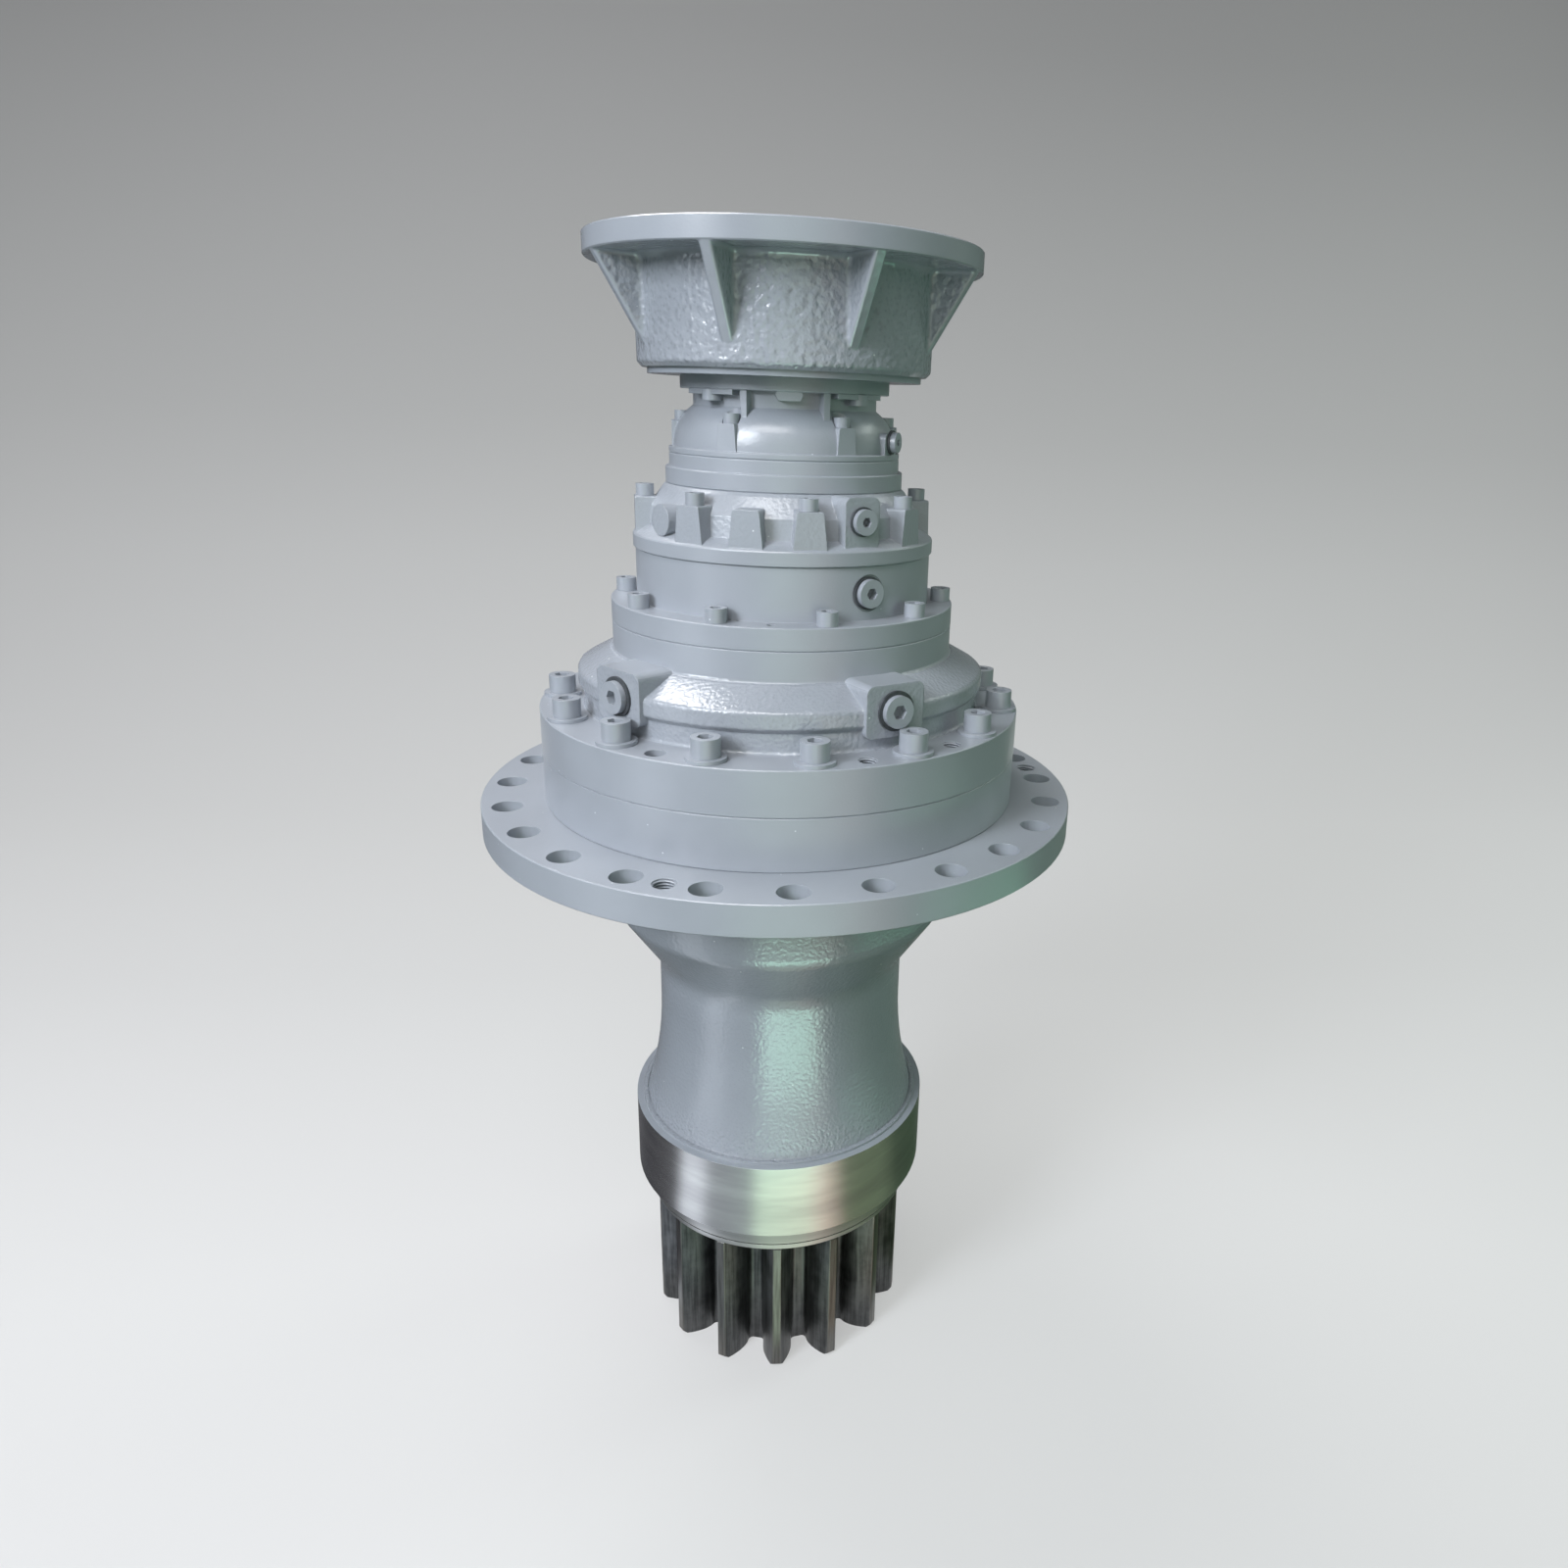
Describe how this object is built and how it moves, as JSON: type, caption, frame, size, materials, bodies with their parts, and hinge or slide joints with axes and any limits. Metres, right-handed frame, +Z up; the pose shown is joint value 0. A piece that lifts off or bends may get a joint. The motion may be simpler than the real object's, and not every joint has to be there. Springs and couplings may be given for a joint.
{
  "type": "slewing planetary gearbox",
  "caption": "Slewing drive gearbox with bolted mounting flange, stacked planetary stages, ribbed motor adapter bell and an overhung output pinion below a pilot collar.",
  "frame": {"origin": "centre of the bolt circle on the underside of the mounting flange", "axes": "+Z up along the shaft axis towards the motor, +X and +Y across, the picture's side faces -Y"},
  "size_m": [0.5599, 0.56, 1.0861],
  "materials": {
    "casing_paint": "glossy light blue-grey enamel over cast and machined faces",
    "housing_paint": "glossy light blue-grey enamel; the pilot collar below the lip is bare turned steel",
    "pinion_steel": "hardened dark gear steel with bright tips",
    "machined_steel": "bare turned steel",
    "gear_steel": "ground and oiled steel",
    "black_steel": "blackened steel",
    "cast_carrier": "oiled machined casting",
    "bush_bronze": "plain bronze",
    "seal_rubber": "black oil-resistant rubber and bonded seals"
  },
  "bodies": {
    "casing": {"output_housing": "housing_paint", "ring_gear_3": "casing_paint", "gear_cover": "casing_paint", "ring_gear_2": "casing_paint", "intermediate_housing": "casing_paint", "ring_gear_1": "casing_paint", "input_housing": "casing_paint", "motor_adapter": "casing_paint", "cover_screws": "casing_paint", "cover_washers": "casing_paint", "disc_screws": "casing_paint", "intermediate_screws": "casing_paint", "input_screws": "casing_paint", "adapter_screws": "black_steel", "cover_plugs": "casing_paint", "cover_plug_seals": "seal_rubber", "level_plug": "casing_paint", "level_plug_seal": "seal_rubber", "intermediate_plug": "casing_paint", "intermediate_plug_seal": "seal_rubber", "input_plug": "casing_paint", "input_plug_seal": "seal_rubber", "seal_carrier": "machined_steel", "shaft_seal": "seal_rubber", "upper_bearing_outer_ring": "gear_steel", "lower_bearing_outer_ring": "gear_steel", "input_bearing_outer_ring": "gear_steel", "input_circlip": "black_steel", "input_seal": "seal_rubber"},
    "output": {"pinion_shaft": "pinion_steel", "shaft_nut": "black_steel", "carrier_3": "cast_carrier", "planet_pins_3": "gear_steel", "upper_bearing_inner_ring": "gear_steel", "lower_bearing_inner_ring": "gear_steel"},
    "middle_carrier": {"carrier_2": "cast_carrier", "planet_pins_2": "gear_steel", "sun_shaft_3": "gear_steel"},
    "fast_carrier": {"carrier_1": "cast_carrier", "planet_pins_1": "gear_steel", "sun_shaft_2": "gear_steel"},
    "input": {"input_shaft": "gear_steel", "coupling_sleeve": "machined_steel", "input_bearing_inner_ring": "gear_steel"},
    "upper_roller_set": {"upper_bearing_rollers": "gear_steel"},
    "lower_roller_set": {"lower_bearing_rollers": "gear_steel"},
    "input_roller_set": {"input_bearing_rollers": "gear_steel"},
    "planet_3a_set": {"planet_3a": "gear_steel", "planet_bush_3a": "bush_bronze"},
    "planet_3b_set": {"planet_3b": "gear_steel", "planet_bush_3b": "bush_bronze"},
    "planet_3c_set": {"planet_3c": "gear_steel", "planet_bush_3c": "bush_bronze"},
    "planet_2a_set": {"planet_2a": "gear_steel"},
    "planet_2b_set": {"planet_2b": "gear_steel"},
    "planet_2c_set": {"planet_2c": "gear_steel"},
    "planet_1a_set": {"planet_1a": "gear_steel"},
    "planet_1b_set": {"planet_1b": "gear_steel"},
    "planet_1c_set": {"planet_1c": "gear_steel"}
  },
  "joints": [
    {"name": "pinion_spin", "type": "hinge", "parent": "casing", "child": "output", "pos_m": [0, 0, -0.35], "axis": [0, 0, 1], "continuous": true},
    {"name": "middle_carrier_spin", "type": "hinge", "parent": "casing", "child": "middle_carrier", "pos_m": [0, 0, 0.2], "axis": [0, 0, 1], "continuous": true},
    {"name": "fast_carrier_spin", "type": "hinge", "parent": "casing", "child": "fast_carrier", "pos_m": [0, 0, 0.305], "axis": [0, 0, 1], "continuous": true},
    {"name": "input_spin", "type": "hinge", "parent": "casing", "child": "input", "pos_m": [0, 0, 0.375], "axis": [0, 0, 1], "continuous": true},
    {"name": "upper_roller_set_spin", "type": "hinge", "parent": "casing", "child": "upper_roller_set", "pos_m": [0, 0, -0.052], "axis": [0, 0, 1], "continuous": true},
    {"name": "lower_roller_set_spin", "type": "hinge", "parent": "casing", "child": "lower_roller_set", "pos_m": [0, 0, -0.3537], "axis": [0, 0, 1], "continuous": true},
    {"name": "input_roller_set_spin", "type": "hinge", "parent": "casing", "child": "input_roller_set", "pos_m": [0, 0, 0.3745], "axis": [0, 0, 1], "continuous": true},
    {"name": "planet_3a_spin", "type": "hinge", "parent": "output", "child": "planet_3a_set", "pos_m": [0.105, 0, 0.072], "axis": [0, 0, 1], "continuous": true},
    {"name": "planet_3b_spin", "type": "hinge", "parent": "output", "child": "planet_3b_set", "pos_m": [-0.0525, 0.09093, 0.072], "axis": [0, 0, 1], "continuous": true},
    {"name": "planet_3c_spin", "type": "hinge", "parent": "output", "child": "planet_3c_set", "pos_m": [-0.0525, -0.09093, 0.072], "axis": [0, 0, 1], "continuous": true},
    {"name": "planet_2a_spin", "type": "hinge", "parent": "middle_carrier", "child": "planet_2a_set", "pos_m": [0.0675, 0, 0.231], "axis": [0, 0, 1], "continuous": true},
    {"name": "planet_2b_spin", "type": "hinge", "parent": "middle_carrier", "child": "planet_2b_set", "pos_m": [-0.03375, 0.05846, 0.231], "axis": [0, 0, 1], "continuous": true},
    {"name": "planet_2c_spin", "type": "hinge", "parent": "middle_carrier", "child": "planet_2c_set", "pos_m": [-0.03375, -0.05846, 0.231], "axis": [0, 0, 1], "continuous": true},
    {"name": "planet_1a_spin", "type": "hinge", "parent": "fast_carrier", "child": "planet_1a_set", "pos_m": [0.0525, 0, 0.325], "axis": [0, 0, 1], "continuous": true},
    {"name": "planet_1b_spin", "type": "hinge", "parent": "fast_carrier", "child": "planet_1b_set", "pos_m": [-0.02625, 0.04547, 0.325], "axis": [0, 0, 1], "continuous": true},
    {"name": "planet_1c_spin", "type": "hinge", "parent": "fast_carrier", "child": "planet_1c_set", "pos_m": [-0.02625, -0.04547, 0.325], "axis": [0, 0, 1], "continuous": true}
  ],
  "couplings": [
    {"joint": "middle_carrier_spin", "follows": "pinion_spin", "ratio": 4},
    {"joint": "fast_carrier_spin", "follows": "pinion_spin", "ratio": 16},
    {"joint": "input_spin", "follows": "pinion_spin", "ratio": 64},
    {"joint": "upper_roller_set_spin", "follows": "pinion_spin", "ratio": 0.43333},
    {"joint": "lower_roller_set_spin", "follows": "pinion_spin", "ratio": 0.45581},
    {"joint": "input_roller_set_spin", "follows": "pinion_spin", "ratio": 28.077},
    {"joint": "planet_3a_spin", "follows": "pinion_spin", "ratio": -3},
    {"joint": "planet_3b_spin", "follows": "pinion_spin", "ratio": -3},
    {"joint": "planet_3c_spin", "follows": "pinion_spin", "ratio": -3},
    {"joint": "planet_2a_spin", "follows": "pinion_spin", "ratio": -12},
    {"joint": "planet_2b_spin", "follows": "pinion_spin", "ratio": -12},
    {"joint": "planet_2c_spin", "follows": "pinion_spin", "ratio": -12},
    {"joint": "planet_1a_spin", "follows": "pinion_spin", "ratio": -48},
    {"joint": "planet_1b_spin", "follows": "pinion_spin", "ratio": -48},
    {"joint": "planet_1c_spin", "follows": "pinion_spin", "ratio": -48}
  ]
}
